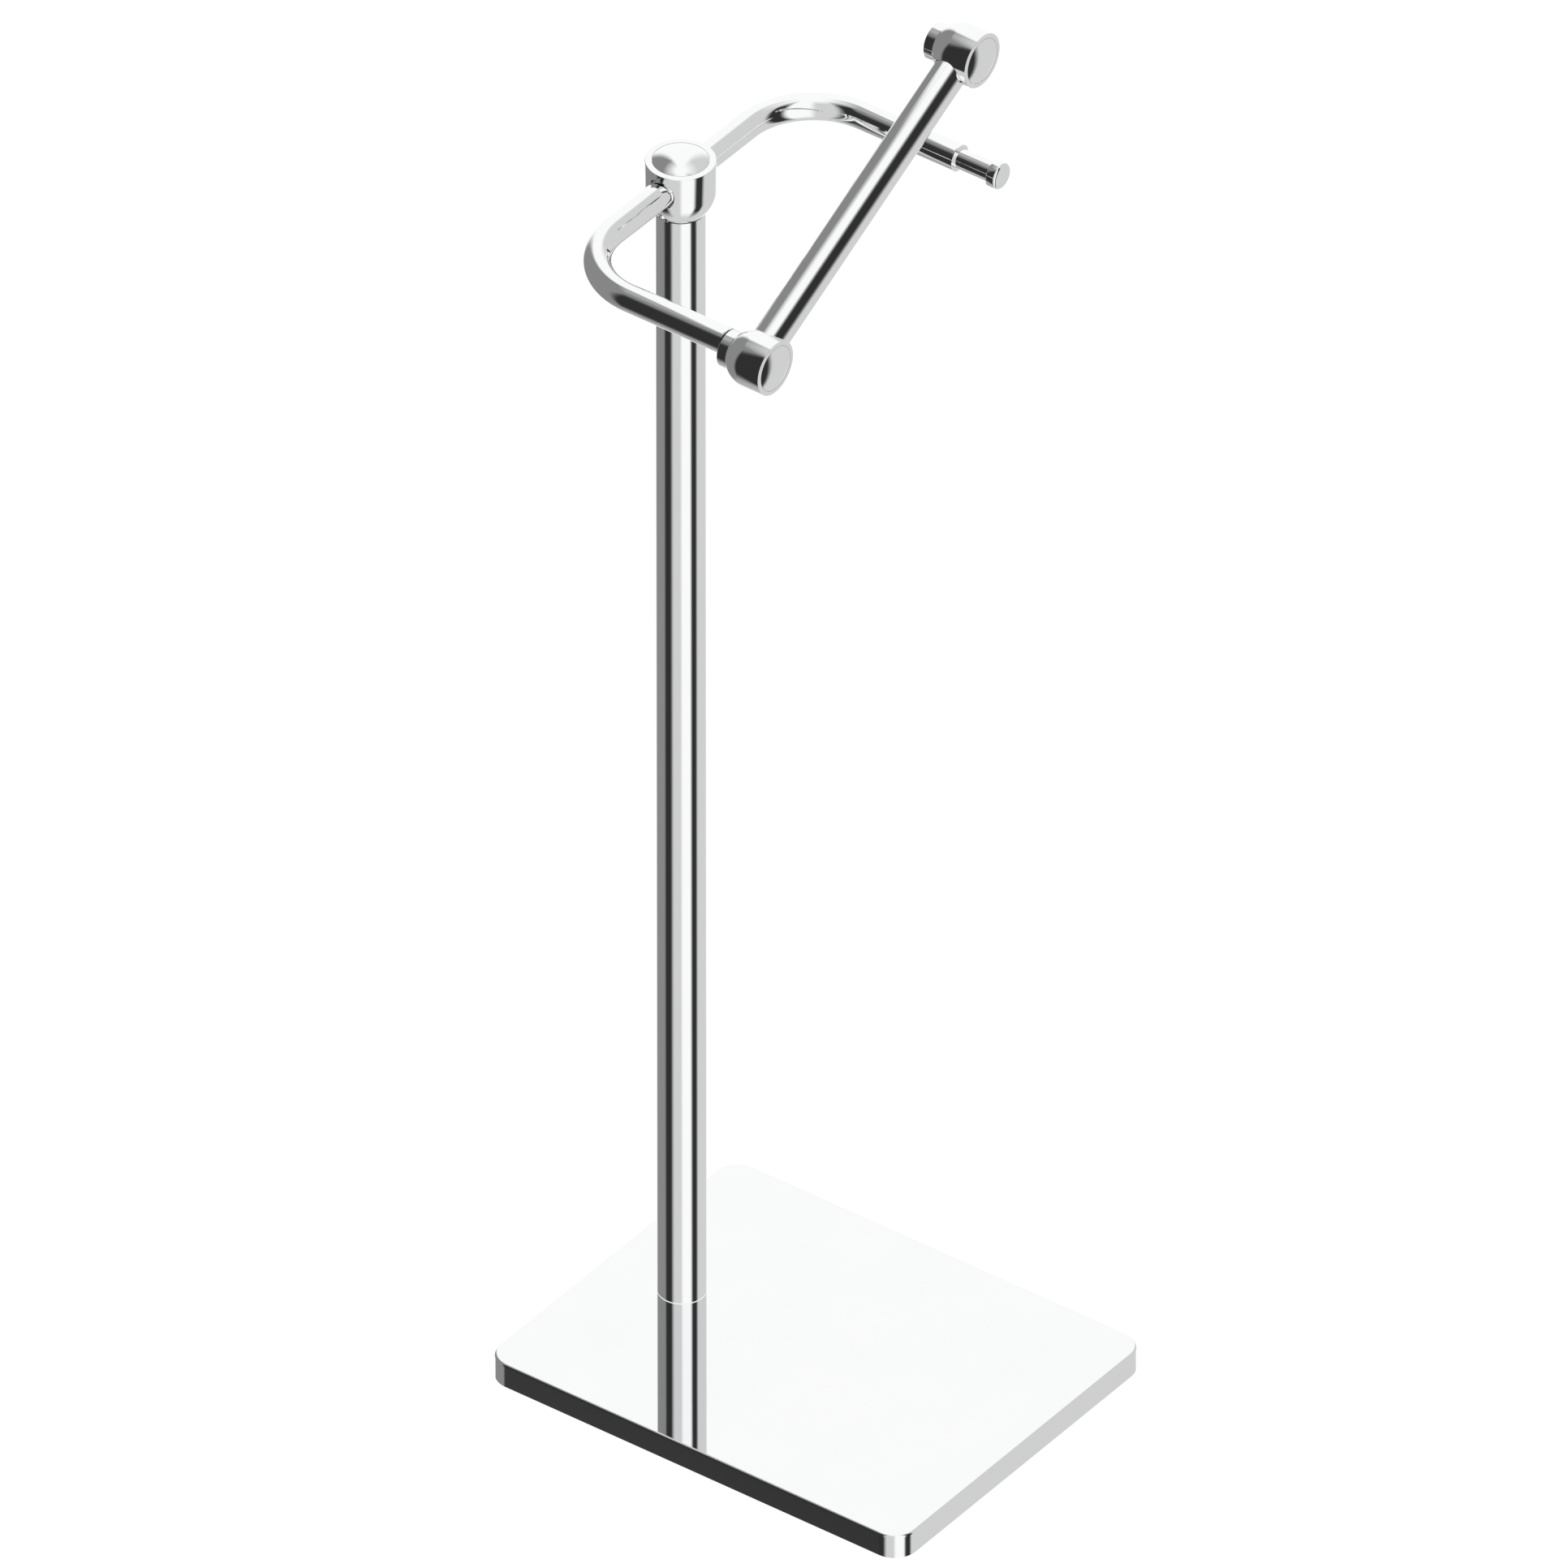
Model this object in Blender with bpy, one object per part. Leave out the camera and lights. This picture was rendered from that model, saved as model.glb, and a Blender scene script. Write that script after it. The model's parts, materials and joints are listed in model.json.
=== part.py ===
"""Free-standing holder for a roll of bathroom tissue, in chromed metal.

A flat weighted base carries a round post. A turned hub on top of the post holds two bent arms. The roll
hangs on a bar between the arms. The bar turns on a pin in the near arm, and its far end lifts off a headed
peg in the far arm, so a new roll slides on from that end.

Units are metres and +Z is up. +X is the way the arms reach and +Y runs from the near arm to the far arm.
The origin is on the floor, under the middle of the base.
"""

import math

import bmesh
import bpy
from mathutils import Matrix, Vector

MM = 0.001

# Clearances
SEAT_GAP = 0.3 * MM  # between pieces that are pressed, screwed or rested together
RUNNING_GAP = 0.2 * MM  # between the pivot pin and the sleeve that turns on it
LATCH_GAP = 0.6 * MM  # each side of the peg in the slot that drops over it
CUT_OVER = 1.0 * MM  # how far a cutting shape runs past the face it opens

# Base
BASE_LENGTH = 228.6 * MM
BASE_WIDTH = 183.0 * MM
BASE_THICKNESS = 12.0 * MM
BASE_CORNER_RADIUS = 11.6 * MM
BASE_EDGE_RADIUS = 1.2 * MM
PAD_THICKNESS = 1.0 * MM
PAD_INSET = 2.0 * MM
POST_FROM_BACK_EDGE = 40.6 * MM

# Post
POST_DIAMETER = 22.2 * MM
POST_WALL = 1.2 * MM
POST_LENGTH = 589.2 * MM
POST_PLUG_LENGTH = 16.0 * MM
TUBE_CHAMFER = 0.5 * MM

# Hub on the post
HUB_DIAMETER = 31.4 * MM
HUB_RIM_TO_ARMS = 10.1 * MM
HUB_SHOULDER_HEIGHT = 15.5 * MM  # straight side, from the rim to where the round underside starts
HUB_RIM_WIDTH = 3.0 * MM
HUB_CAP_THICKNESS = 1.2 * MM
HUB_CAP_CROWN = 3.8 * MM  # how far the cap's middle stands above the rim
HUB_SOCKET_FLARE = 0.9 * MM

# Arms
ARM_DIAMETER = 12.5 * MM
ARM_WALL = 1.0 * MM
ARM_SPACING = 169.5 * MM
ARM_REACH = 88.8 * MM
ARM_BEND_RADIUS = 36.0 * MM
ARM_IN_HUB = 6.6 * MM
ARM_PLUG_LENGTH = 16.0 * MM

# Peg on the far arm and pin on the near arm
PEG_DIAMETER = 9.3 * MM
PEG_HEAD_DIAMETER = 12.4 * MM
PEG_SHANK_LENGTH = 18.4 * MM
PEG_HEAD_LENGTH = 5.0 * MM
PEG_HEAD_ROUND = 1.3 * MM
PEG_NECK_CHAMFER = 0.3 * MM
SLEEVE_WALL = 1.0 * MM
PIN_NECK_LENGTH = 2.0 * MM  # each way from the arm's end, between the pin's tail and its journal
PIN_NECK_INSET = 0.1 * MM

# Cups at the ends of the bar
CUP_DIAMETER = 25.7 * MM
CUP_RIM_WIDTH = 2.1 * MM
CUP_COLLAR_DIAMETER = 17.3 * MM
CUP_BEHIND_BAR = 15.3 * MM  # from the bar's axis back to the end of the collar
CUP_RIM_PAST_BAR = 2.55 * MM  # the cup's rim stands this far in front of the bar's surface
CUP_ROUND_BACK = 1.0 * MM  # centre of the round back, behind the bar's axis
CUP_DROP = 3.16 * MM  # the bar and its cups hang this far below the arms
CUP_CAP_CROWN = 2.2 * MM  # how far the cap's middle stands out from the rim
CUP_CAP_DEPTH = 2.3 * MM  # from the rim back to the cap's inner face
CUP_CAP_FLANGE = 1.2 * MM  # thickness of the cap's edge, which fills the cup's mouth
CUP_CAP_NECK_INSET = 1.4 * MM  # the cap is this much narrower behind its edge

# Bar
BAR_DIAMETER = 15.9 * MM
BAR_WALL = 1.0 * MM
BAR_PLUG_LENGTH = 14.0 * MM
BAR_END_FROM_CUP_AXIS = 9.9 * MM
BAR_RAISED_DEG = 27.3  # how far the bar stands raised from its level, closed position

# Screws and studs: shank, head and washer
POST_SCREW = {"shank": 8.0 * MM, "head": 14.0 * MM, "head_height": 4.4 * MM, "key": 5.0 * MM}
POST_SCREW_LENGTH = 20.0 * MM
POST_WASHER = {"across": 16.0 * MM, "thickness": 1.2 * MM}
HUB_STUD_DIAMETER = 8.0 * MM
HUB_STUD_IN_HUB = 8.0 * MM
HUB_STUD_IN_POST = 12.0 * MM
GRUB_DIAMETER = 4.0 * MM
GRUB_KEY = 2.0 * MM
PIN_SCREW = {"shank": 4.0 * MM, "head": 7.6 * MM, "head_height": 2.2 * MM, "key": 2.5 * MM}
PIN_SCREW_LENGTH = 12.0 * MM
PIN_WASHER = {"across": 14.0 * MM, "thickness": 0.8 * MM}
BAR_STUD_DIAMETER = 5.0 * MM
BAR_STUD_IN_CUP = 2.4 * MM
BAR_STUD_IN_PLUG = 8.0 * MM
KEY_DEPTH_SHARE = 0.55  # depth of a hexagon key hole, as a share of the head it is cut in
HEAD_SIDE_SHARE = 0.4  # straight side of a screw's head, as a share of its height
HEAD_TOP_SHARE = 0.62  # flat top of a screw's head, as a share of its width

# How finely round shapes are divided
FINE_STEPS = 32
ROUND_STEPS = 28
SMALL_STEPS = 20
TINY_STEPS = 12
ARC_STEPS = 6
BEND_STEPS = 10
CORNER_STEPS = 6
EDGE_STEPS = 3
PEG_ROUND_STEPS = 4
SHARP_DEG = 30
SAME_PLACE = 0.001 * MM  # points closer than this are one point

# Worked out from the sizes above
POST_X = POST_FROM_BACK_EDGE - BASE_LENGTH / 2
BASE_TOP = PAD_THICKNESS + BASE_THICKNESS
POST_BOTTOM = BASE_TOP + SEAT_GAP
POST_TOP = POST_BOTTOM + POST_LENGTH
POST_RADIUS = POST_DIAMETER / 2
POST_BORE = POST_RADIUS - POST_WALL
HUB_RADIUS = HUB_DIAMETER / 2
HUB_UNDER = math.sqrt(HUB_RADIUS**2 - POST_RADIUS**2)
HUB_HEIGHT = HUB_SHOULDER_HEIGHT + HUB_UNDER
HUB_RIM = POST_TOP + SEAT_GAP + HUB_HEIGHT
ARM_RADIUS = ARM_DIAMETER / 2
ARM_BORE = ARM_RADIUS - ARM_WALL
ARM_START = HUB_RADIUS - ARM_IN_HUB
ARM_Z = HUB_RIM - HUB_RIM_TO_ARMS
ARM_END_X = POST_X + ARM_REACH
CUP_RADIUS = CUP_DIAMETER / 2
COLLAR_RADIUS = CUP_COLLAR_DIAMETER / 2
PEG_RADIUS = PEG_DIAMETER / 2
PEG_HEAD_RADIUS = PEG_HEAD_DIAMETER / 2
BAR_RADIUS = BAR_DIAMETER / 2
CUP_BEFORE_BAR = BAR_RADIUS + CUP_RIM_PAST_BAR  # from the bar's axis forward to the rim
BAR_BORE = BAR_RADIUS - BAR_WALL
BAR_X = ARM_END_X + SEAT_GAP + CUP_BEHIND_BAR
PIVOT = Vector((BAR_X, -ARM_SPACING / 2, ARM_Z - CUP_DROP))
SLEEVE_BORE = PEG_RADIUS + RUNNING_GAP
SLEEVE_RADIUS = SLEEVE_BORE + SLEEVE_WALL
CUP_BORE = SLEEVE_RADIUS + SEAT_GAP
CAP_RADIUS = CUP_RADIUS - CUP_RIM_WIDTH - SEAT_GAP
CAP_NECK = CAP_RADIUS - CUP_CAP_NECK_INSET
CAP_BACK = CUP_BEFORE_BAR - CUP_CAP_DEPTH
CAP_STEP = CUP_BEFORE_BAR - CUP_CAP_FLANGE
WASHER_ROOM = PIN_WASHER["across"] / 2 + SEAT_GAP
PIN_END = CAP_BACK - PIN_SCREW["head_height"] - PIN_WASHER["thickness"] - 4 * SEAT_GAP
CUP_SHOULDER = PIN_END - SEAT_GAP

CHROME = ((0.86, 0.87, 0.88, 1), 1.0, 0.04)
ZINC = ((0.62, 0.63, 0.64, 1), 1.0, 0.32)
STEEL = ((0.50, 0.50, 0.51, 1), 1.0, 0.38)
FOAM = ((0.045, 0.045, 0.048, 1), 0.0, 0.85)
NYLON = ((0.82, 0.82, 0.79, 1), 0.0, 0.45)

ALONG_X = Matrix.Rotation(math.pi / 2, 4, "Y")  # turns a shape's own +Z to +X
ALONG_Y = Matrix.Rotation(-math.pi / 2, 4, "X")  # turns a shape's own +Z to +Y
AGAINST_Y = Matrix.Rotation(math.pi / 2, 4, "X")  # turns a shape's own +Z to -Y


# ---------------------------------------------------------------- helpers


def clear_scene():
    for old in list(bpy.data.objects):
        bpy.data.objects.remove(old)


def add_object(name, shape, place, parent=None):
    """Puts a bmesh in the scene as an object, smooth except at its real edges."""
    bmesh.ops.recalc_face_normals(shape, faces=shape.faces)
    mesh = bpy.data.meshes.new(name)
    shape.to_mesh(mesh)
    shape.free()
    mesh.shade_smooth()
    mesh.set_sharp_from_angle(angle=math.radians(SHARP_DEG))
    piece = bpy.data.objects.new(name, mesh)
    bpy.context.scene.collection.objects.link(piece)
    piece.parent = parent
    piece.matrix_local = place
    return piece


def give_finish(piece, finish):
    """Gives a piece a material of its own."""
    colour, metallic, roughness = finish
    material = bpy.data.materials.new(piece.name + "_finish")
    material.use_nodes = True
    shader = material.node_tree.nodes["Principled BSDF"]
    shader.inputs["Base Color"].default_value = colour
    shader.inputs["Metallic"].default_value = metallic
    shader.inputs["Roughness"].default_value = roughness
    material.diffuse_color = colour
    piece.data.materials.append(material)
    return piece


def arc(centre, radius, start_deg, end_deg, steps=ARC_STEPS):
    """Points of an arc in a profile. Angles run from the +radius direction towards +height."""
    points = []
    for step in range(steps + 1):
        angle = math.radians(start_deg + (end_deg - start_deg) * step / steps)
        points.append((centre[0] + radius * math.cos(angle), centre[1] + radius * math.sin(angle)))
    return points


def turned_shape(profile, steps=ROUND_STEPS):
    """Turns a profile of (radius, height) points about Z. A profile off the axis is a closed loop."""
    shape = bmesh.new()
    points = [shape.verts.new((radius, 0, height)) for radius, height in profile]
    pairs = list(zip(points, points[1:]))
    if profile[0][0] > 0:
        pairs.append((points[-1], points[0]))
    edges = [shape.edges.new(pair) for pair in pairs]
    bmesh.ops.spin(
        shape,
        geom=points + edges,
        cent=(0, 0, 0),
        axis=(0, 0, 1),
        angle=2 * math.pi,
        steps=steps,
        use_merge=True,
    )
    bmesh.ops.remove_doubles(shape, verts=shape.verts, dist=SAME_PLACE)
    return shape


def turned(name, profile, finish, place, parent=None, steps=ROUND_STEPS):
    return give_finish(add_object(name, turned_shape(profile, steps), place, parent), finish)


def pipe_profile(outer, inner, low, high, low_chamfer=0.0, high_chamfer=0.0):
    """A pipe's wall, with a chamfer on the outer edge of either end."""
    profile = [(inner, low), (outer - low_chamfer, low)]
    if low_chamfer:
        profile.append((outer, low + low_chamfer))
    profile.append((outer, high - high_chamfer))
    if high_chamfer:
        profile.append((outer - high_chamfer, high))
    profile.append((inner, high))
    return profile


def disc_profile(radius, low, high):
    return [(0, low), (radius, low), (radius, high), (0, high)]


def combine(piece, name, shape, place, parent, operation):
    """Joins a hidden shape to a piece, or cuts it out."""
    tool = add_object(name, shape, place, parent)
    tool.hide_render = True
    tool.display_type = "WIRE"
    boolean = piece.modifiers.new(name, "BOOLEAN")
    boolean.operation = operation
    boolean.solver = "EXACT"
    boolean.object = tool


def cut(piece, name, shape, place, parent=None):
    combine(piece, name, shape, place, parent, "DIFFERENCE")


def join(piece, name, shape, place, parent=None):
    combine(piece, name, shape, place, parent, "UNION")


def prism_shape(outline, low, high):
    """A straight prism with an (x, y) outline, between two heights."""
    shape = bmesh.new()
    floor = [shape.verts.new((x, y, low)) for x, y in outline]
    face = shape.faces.new(floor)
    top = bmesh.ops.extrude_face_region(shape, geom=[face])["geom"]
    lifted = [item for item in top if isinstance(item, bmesh.types.BMVert)]
    bmesh.ops.translate(shape, verts=lifted, vec=(0, 0, high - low))
    return shape


def hexagon(across_flats):
    return arc((0, 0), across_flats / math.sqrt(3), 0, 300, 5)


def rounded_rectangle(length, width, radius):
    outline = []
    for x, y, start in ((1, 1, 0), (-1, 1, 90), (-1, -1, 180), (1, -1, 270)):
        centre = (x * (length / 2 - radius), y * (width / 2 - radius))
        outline += arc(centre, radius, start, start + 90, CORNER_STEPS)
    return outline


def swept_shape(stations, sides=SMALL_STEPS):
    """Joins rings (centre, direction, radius) in order, and the last to the first. The path lies flat."""
    shape = bmesh.new()
    rings = []
    for centre, along, radius in stations:
        sideways = along.cross(Vector((0, 0, 1)))
        ring = []
        for side in range(sides):
            angle = 2 * math.pi * side / sides
            offset = Vector((0, 0, 1)) * math.cos(angle) + sideways * math.sin(angle)
            ring.append(shape.verts.new(centre + offset * radius))
        rings.append(ring)
    for ring, after in zip(rings, rings[1:] + rings[:1]):
        for side in range(sides):
            beside = (side + 1) % sides
            shape.faces.new((ring[side], ring[beside], after[beside], after[side]))
    return shape


def screw(name, size, length, finish, place, parent=None):
    """A round-headed screw with a hexagon key hole. Its head sits on Z = 0 and its shank points down."""
    head = size["head"] / 2
    height = size["head_height"]
    side = height * HEAD_SIDE_SHARE
    profile = [(0, -length), (size["shank"] / 2, -length), (size["shank"] / 2, 0), (head, 0)]
    profile += [(head, side), (head * HEAD_TOP_SHARE, height), (0, height)]
    piece = turned(name, profile, finish, place, parent, SMALL_STEPS)
    depth = height * KEY_DEPTH_SHARE
    key = prism_shape(hexagon(size["key"]), height - depth, height + depth)
    cut(piece, name + "_key", key, place, parent)
    return piece


def washer(name, size, hole, finish, place, parent=None):
    profile = pipe_profile(size["across"] / 2, hole, 0, size["thickness"])
    return turned(name, profile, finish, place, parent, SMALL_STEPS)


# ---------------------------------------------------------------- base


def make_base():
    """Steel plate with rounded corners and a softened top edge, bored from below for the post's screw."""
    outline = rounded_rectangle(BASE_LENGTH, BASE_WIDTH, BASE_CORNER_RADIUS)
    shape = prism_shape(outline, PAD_THICKNESS, BASE_TOP)
    top_edges = [edge for edge in shape.edges if min(v.co.z for v in edge.verts) > BASE_TOP - SAME_PLACE]
    bmesh.ops.bevel(
        shape,
        geom=top_edges,
        offset=BASE_EDGE_RADIUS,
        segments=EDGE_STEPS,
        profile=0.5,
        affect="EDGES",
    )
    plate = give_finish(add_object("base_plate", shape, Matrix()), CHROME)

    under_post = Matrix.Translation((POST_X, 0, 0))
    seat = POST_WASHER["across"] / 2 + SEAT_GAP
    recess = POST_SCREW["head_height"] + POST_WASHER["thickness"] + 3 * SEAT_GAP
    bore = POST_SCREW["shank"] / 2 + SEAT_GAP
    profile = [
        (0, PAD_THICKNESS - CUT_OVER),
        (seat, PAD_THICKNESS - CUT_OVER),
        (seat, PAD_THICKNESS + recess),
        (bore, PAD_THICKNESS + recess),
        (bore, BASE_TOP + CUT_OVER),
        (0, BASE_TOP + CUT_OVER),
    ]
    cut(plate, "base_bore", turned_shape(profile, SMALL_STEPS), under_post)

    outline = rounded_rectangle(
        BASE_LENGTH - 2 * PAD_INSET, BASE_WIDTH - 2 * PAD_INSET, BASE_CORNER_RADIUS - PAD_INSET
    )
    shape = prism_shape(outline, 0, PAD_THICKNESS - SEAT_GAP)
    pad = give_finish(add_object("base_pad", shape, Matrix()), FOAM)
    hole = disc_profile(seat + SEAT_GAP, -CUT_OVER, PAD_THICKNESS + CUT_OVER)
    cut(pad, "pad_hole", turned_shape(hole, SMALL_STEPS), under_post)
    return recess


def make_base_screw(recess):
    """The screw comes up through its washer and the plate into the plug in the foot of the post."""
    bearing = PAD_THICKNESS + recess - SEAT_GAP
    washer_place = Matrix.Translation((POST_X, 0, bearing - POST_WASHER["thickness"]))
    hole = POST_SCREW["shank"] / 2 + SEAT_GAP
    washer("post_screw_washer", POST_WASHER, hole, STEEL, washer_place)
    head = bearing - POST_WASHER["thickness"] - SEAT_GAP
    upside_down = Matrix.Translation((POST_X, 0, head)) @ Matrix.Rotation(math.pi, 4, "X")
    screw("post_screw", POST_SCREW, POST_SCREW_LENGTH, STEEL, upside_down)


# ---------------------------------------------------------------- post and hub


def make_post():
    """Thin-walled tube with a pressed-in threaded plug at each end."""
    profile = pipe_profile(POST_RADIUS, POST_BORE, POST_BOTTOM, POST_TOP, TUBE_CHAMFER, TUBE_CHAMFER)
    on_post = Matrix.Translation((POST_X, 0, 0))
    turned("post_tube", profile, CHROME, on_post, steps=FINE_STEPS)
    plug = POST_BORE - SEAT_GAP
    screw_hole = POST_SCREW["shank"] / 2 + SEAT_GAP
    low = POST_BOTTOM
    profile = pipe_profile(plug, screw_hole, low, low + POST_PLUG_LENGTH)
    turned("post_bottom_plug", profile, ZINC, on_post)
    stud_hole = HUB_STUD_DIAMETER / 2 + SEAT_GAP
    profile = pipe_profile(plug, stud_hole, POST_TOP - POST_PLUG_LENGTH, POST_TOP)
    turned("post_top_plug", profile, ZINC, on_post)
    seat = POST_TOP + SEAT_GAP
    profile = disc_profile(HUB_STUD_DIAMETER / 2, seat - HUB_STUD_IN_POST, seat + HUB_STUD_IN_HUB)
    turned("hub_stud", profile, STEEL, on_post, steps=SMALL_STEPS)


def crown(edge_radius, height, rim, steps=ARC_STEPS):
    """Profile of a round swelling, from its edge at the rim's level in to its middle."""
    sphere = (edge_radius**2 + height**2) / (2 * height)
    edge_deg = math.degrees(math.asin(edge_radius / sphere))
    return arc((0, rim + height - sphere), sphere, 90 - edge_deg, 90, steps)


def make_hub():
    """Turned body: straight side, round underside, a seat for its cap and a socket for each arm."""
    under_deg = math.degrees(math.asin(HUB_UNDER / HUB_RADIUS))
    floor = -HUB_HEIGHT
    stud_hole = HUB_STUD_DIAMETER / 2 + SEAT_GAP
    stud_top = floor + HUB_STUD_IN_HUB + SEAT_GAP
    profile = [(0, stud_top), (stud_hole, stud_top), (stud_hole, floor)]
    profile += arc((0, -HUB_SHOULDER_HEIGHT), HUB_RADIUS, -under_deg, 0)
    mouth = HUB_RADIUS - HUB_RIM_WIDTH
    seat = -HUB_CAP_THICKNESS - SEAT_GAP
    profile += [(HUB_RADIUS, 0), (mouth, 0), (mouth, seat), (0, seat)]
    on_post = Matrix.Translation((POST_X, 0, HUB_RIM))
    hub = turned("hub", profile, CHROME, on_post, steps=FINE_STEPS)

    bore = ARM_RADIUS + SEAT_GAP
    flare = bore + HUB_SOCKET_FLARE
    side = math.sqrt(HUB_RADIUS**2 - bore**2)
    socket = [
        (0, ARM_START - SEAT_GAP),
        (bore, ARM_START - SEAT_GAP),
        (bore, side - HUB_SOCKET_FLARE),
        (flare, side),
        (flare, HUB_RADIUS + ARM_IN_HUB),
        (0, HUB_RADIUS + ARM_IN_HUB),
    ]
    for label, turn in (("near", AGAINST_Y), ("far", ALONG_Y)):
        place = Matrix.Translation((POST_X, 0, ARM_Z)) @ turn
        cut(hub, f"{label}_arm_socket", turned_shape(socket, SMALL_STEPS), place)
    return hub


def make_hub_cap():
    """A domed disc closes the top of the hub."""
    edge = HUB_RADIUS - HUB_RIM_WIDTH - SEAT_GAP
    profile = [(0, -HUB_CAP_THICKNESS), (edge, -HUB_CAP_THICKNESS)] + crown(edge, HUB_CAP_CROWN, 0)
    turned("hub_cap", profile, CHROME, Matrix.Translation((POST_X, 0, HUB_RIM)), steps=FINE_STEPS)


def make_hub_grubs(hub):
    """A headless screw, driven up from the round underside of the hub, holds each arm in its socket."""
    radius = GRUB_DIAMETER / 2
    across = (ARM_START + HUB_RADIUS) / 2
    under = math.sqrt(HUB_RADIUS**2 - (across + radius) ** 2)
    surface = HUB_SHOULDER_HEIGHT + under - HUB_RIM_TO_ARMS
    tip = ARM_RADIUS + 2 * SEAT_GAP
    downwards = Matrix.Rotation(math.pi, 4, "X")
    for label, side in (("near", -1), ("far", 1)):
        place = Matrix.Translation((POST_X, side * across, ARM_Z)) @ downwards
        grub = turned(f"{label}_hub_grub", disc_profile(radius, tip, surface), STEEL, place, steps=TINY_STEPS)
        key = prism_shape(hexagon(GRUB_KEY), surface - GRUB_KEY, surface + GRUB_KEY)
        cut(grub, f"{label}_grub_key", key, place)
        hole = disc_profile(radius + SEAT_GAP, ARM_RADIUS / 2, surface + HUB_RADIUS)
        cut(hub, f"{label}_grub_hole", turned_shape(hole, TINY_STEPS), place)


# ---------------------------------------------------------------- arms


def arm_stations(side):
    """The arm leaves the hub sideways, turns through a quarter circle and reaches forward."""
    spread = ARM_SPACING / 2
    out = Vector((0, side, 0))
    forward = Vector((1, 0, 0))
    bend = []
    for step in range(BEND_STEPS + 1):
        angle = math.pi / 2 * step / BEND_STEPS
        centre = Vector((ARM_BEND_RADIUS, side * (spread - ARM_BEND_RADIUS), 0))
        across = out * math.sin(angle) - forward * math.cos(angle)
        along = out * math.cos(angle) + forward * math.sin(angle)
        bend.append((centre + across * ARM_BEND_RADIUS, along))
    start = (out * ARM_START, out)
    end = (Vector((ARM_REACH, side * spread, 0)), forward)
    before_end = (end[0] - forward * TUBE_CHAMFER, forward)
    outside = [(*place, ARM_RADIUS) for place in [start, *bend, before_end]]
    outside.append((*end, ARM_RADIUS - TUBE_CHAMFER))
    inside = [(*place, ARM_BORE) for place in reversed([start, *bend, end])]
    return outside + inside


def make_arms():
    place = Matrix.Translation((POST_X, 0, ARM_Z))
    for name, side in (("near_arm", -1), ("far_arm", 1)):
        give_finish(add_object(name, swept_shape(arm_stations(side)), place), CHROME)


def make_far_peg():
    """Turned peg: its tail is pressed into the far arm, and its head keeps the bar from sliding off."""
    tail = ARM_BORE - SEAT_GAP
    head = PEG_SHANK_LENGTH
    front = head + PEG_HEAD_LENGTH
    profile = [(0, -ARM_PLUG_LENGTH), (tail, -ARM_PLUG_LENGTH), (tail, -PEG_NECK_CHAMFER)]
    profile += [(PEG_RADIUS, 0), (PEG_RADIUS, head), (PEG_HEAD_RADIUS, head)]
    corner = (PEG_HEAD_RADIUS - PEG_HEAD_ROUND, front - PEG_HEAD_ROUND)
    profile += arc(corner, PEG_HEAD_ROUND, 0, 90, PEG_ROUND_STEPS)
    profile.append((0, front))
    place = Matrix.Translation((ARM_END_X, ARM_SPACING / 2, ARM_Z)) @ ALONG_X
    turned("far_peg", profile, CHROME, place, steps=SMALL_STEPS)


def make_near_pin():
    """Pivot pin: a tail in the near arm, and a journal set lower by CUP_DROP for the cup to turn on."""
    tail = ARM_BORE - SEAT_GAP
    at_arm = Matrix.Translation((ARM_END_X, -ARM_SPACING / 2, ARM_Z)) @ ALONG_X
    at_pivot = Matrix.Translation(PIVOT) @ ALONG_X
    tail_profile = disc_profile(tail, -ARM_PLUG_LENGTH, 0)
    pin = turned("near_pivot_pin", tail_profile, ZINC, at_arm, steps=SMALL_STEPS)

    neck_drop = (tail - PEG_RADIUS + CUP_DROP) / 2
    neck_profile = disc_profile(tail - neck_drop - PIN_NECK_INSET, -PIN_NECK_LENGTH, PIN_NECK_LENGTH)
    at_neck = Matrix.Translation((ARM_END_X, -ARM_SPACING / 2, ARM_Z - neck_drop)) @ ALONG_X
    join(pin, "pin_neck", turned_shape(neck_profile, SMALL_STEPS), at_neck)
    journal_profile = disc_profile(PEG_RADIUS, -CUP_BEHIND_BAR, PIN_END)
    join(pin, "pin_journal", turned_shape(journal_profile, SMALL_STEPS), at_pivot)

    hole_radius = PIN_SCREW["shank"] / 2 + SEAT_GAP
    hole_profile = disc_profile(hole_radius, PIN_END - PIN_SCREW_LENGTH, PIN_END + PIN_NECK_LENGTH)
    cut(pin, "pin_screw_hole", turned_shape(hole_profile, SMALL_STEPS), at_pivot)


# ---------------------------------------------------------------- bar and cups


def cup_outside():
    """Profile of a cup's outside, from the edge of its collar to the outer edge of its rim."""
    collar_deg = math.degrees(math.acos(COLLAR_RADIUS / CUP_RADIUS))
    profile = [(COLLAR_RADIUS, -CUP_BEHIND_BAR)]
    profile += arc((0, -CUP_ROUND_BACK), CUP_RADIUS, -collar_deg, 0)
    profile.append((CUP_RADIUS, CUP_BEFORE_BAR))
    return profile


def cap_seat():
    """Profile of the stepped recess for a cap, from the inner edge of the rim to the bottom of the recess."""
    edge = CAP_RADIUS + SEAT_GAP
    neck = CAP_NECK + SEAT_GAP
    step = CAP_STEP - SEAT_GAP
    return [(edge, CUP_BEFORE_BAR), (edge, step), (neck, step), (neck, CAP_BACK - SEAT_GAP)]


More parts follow.
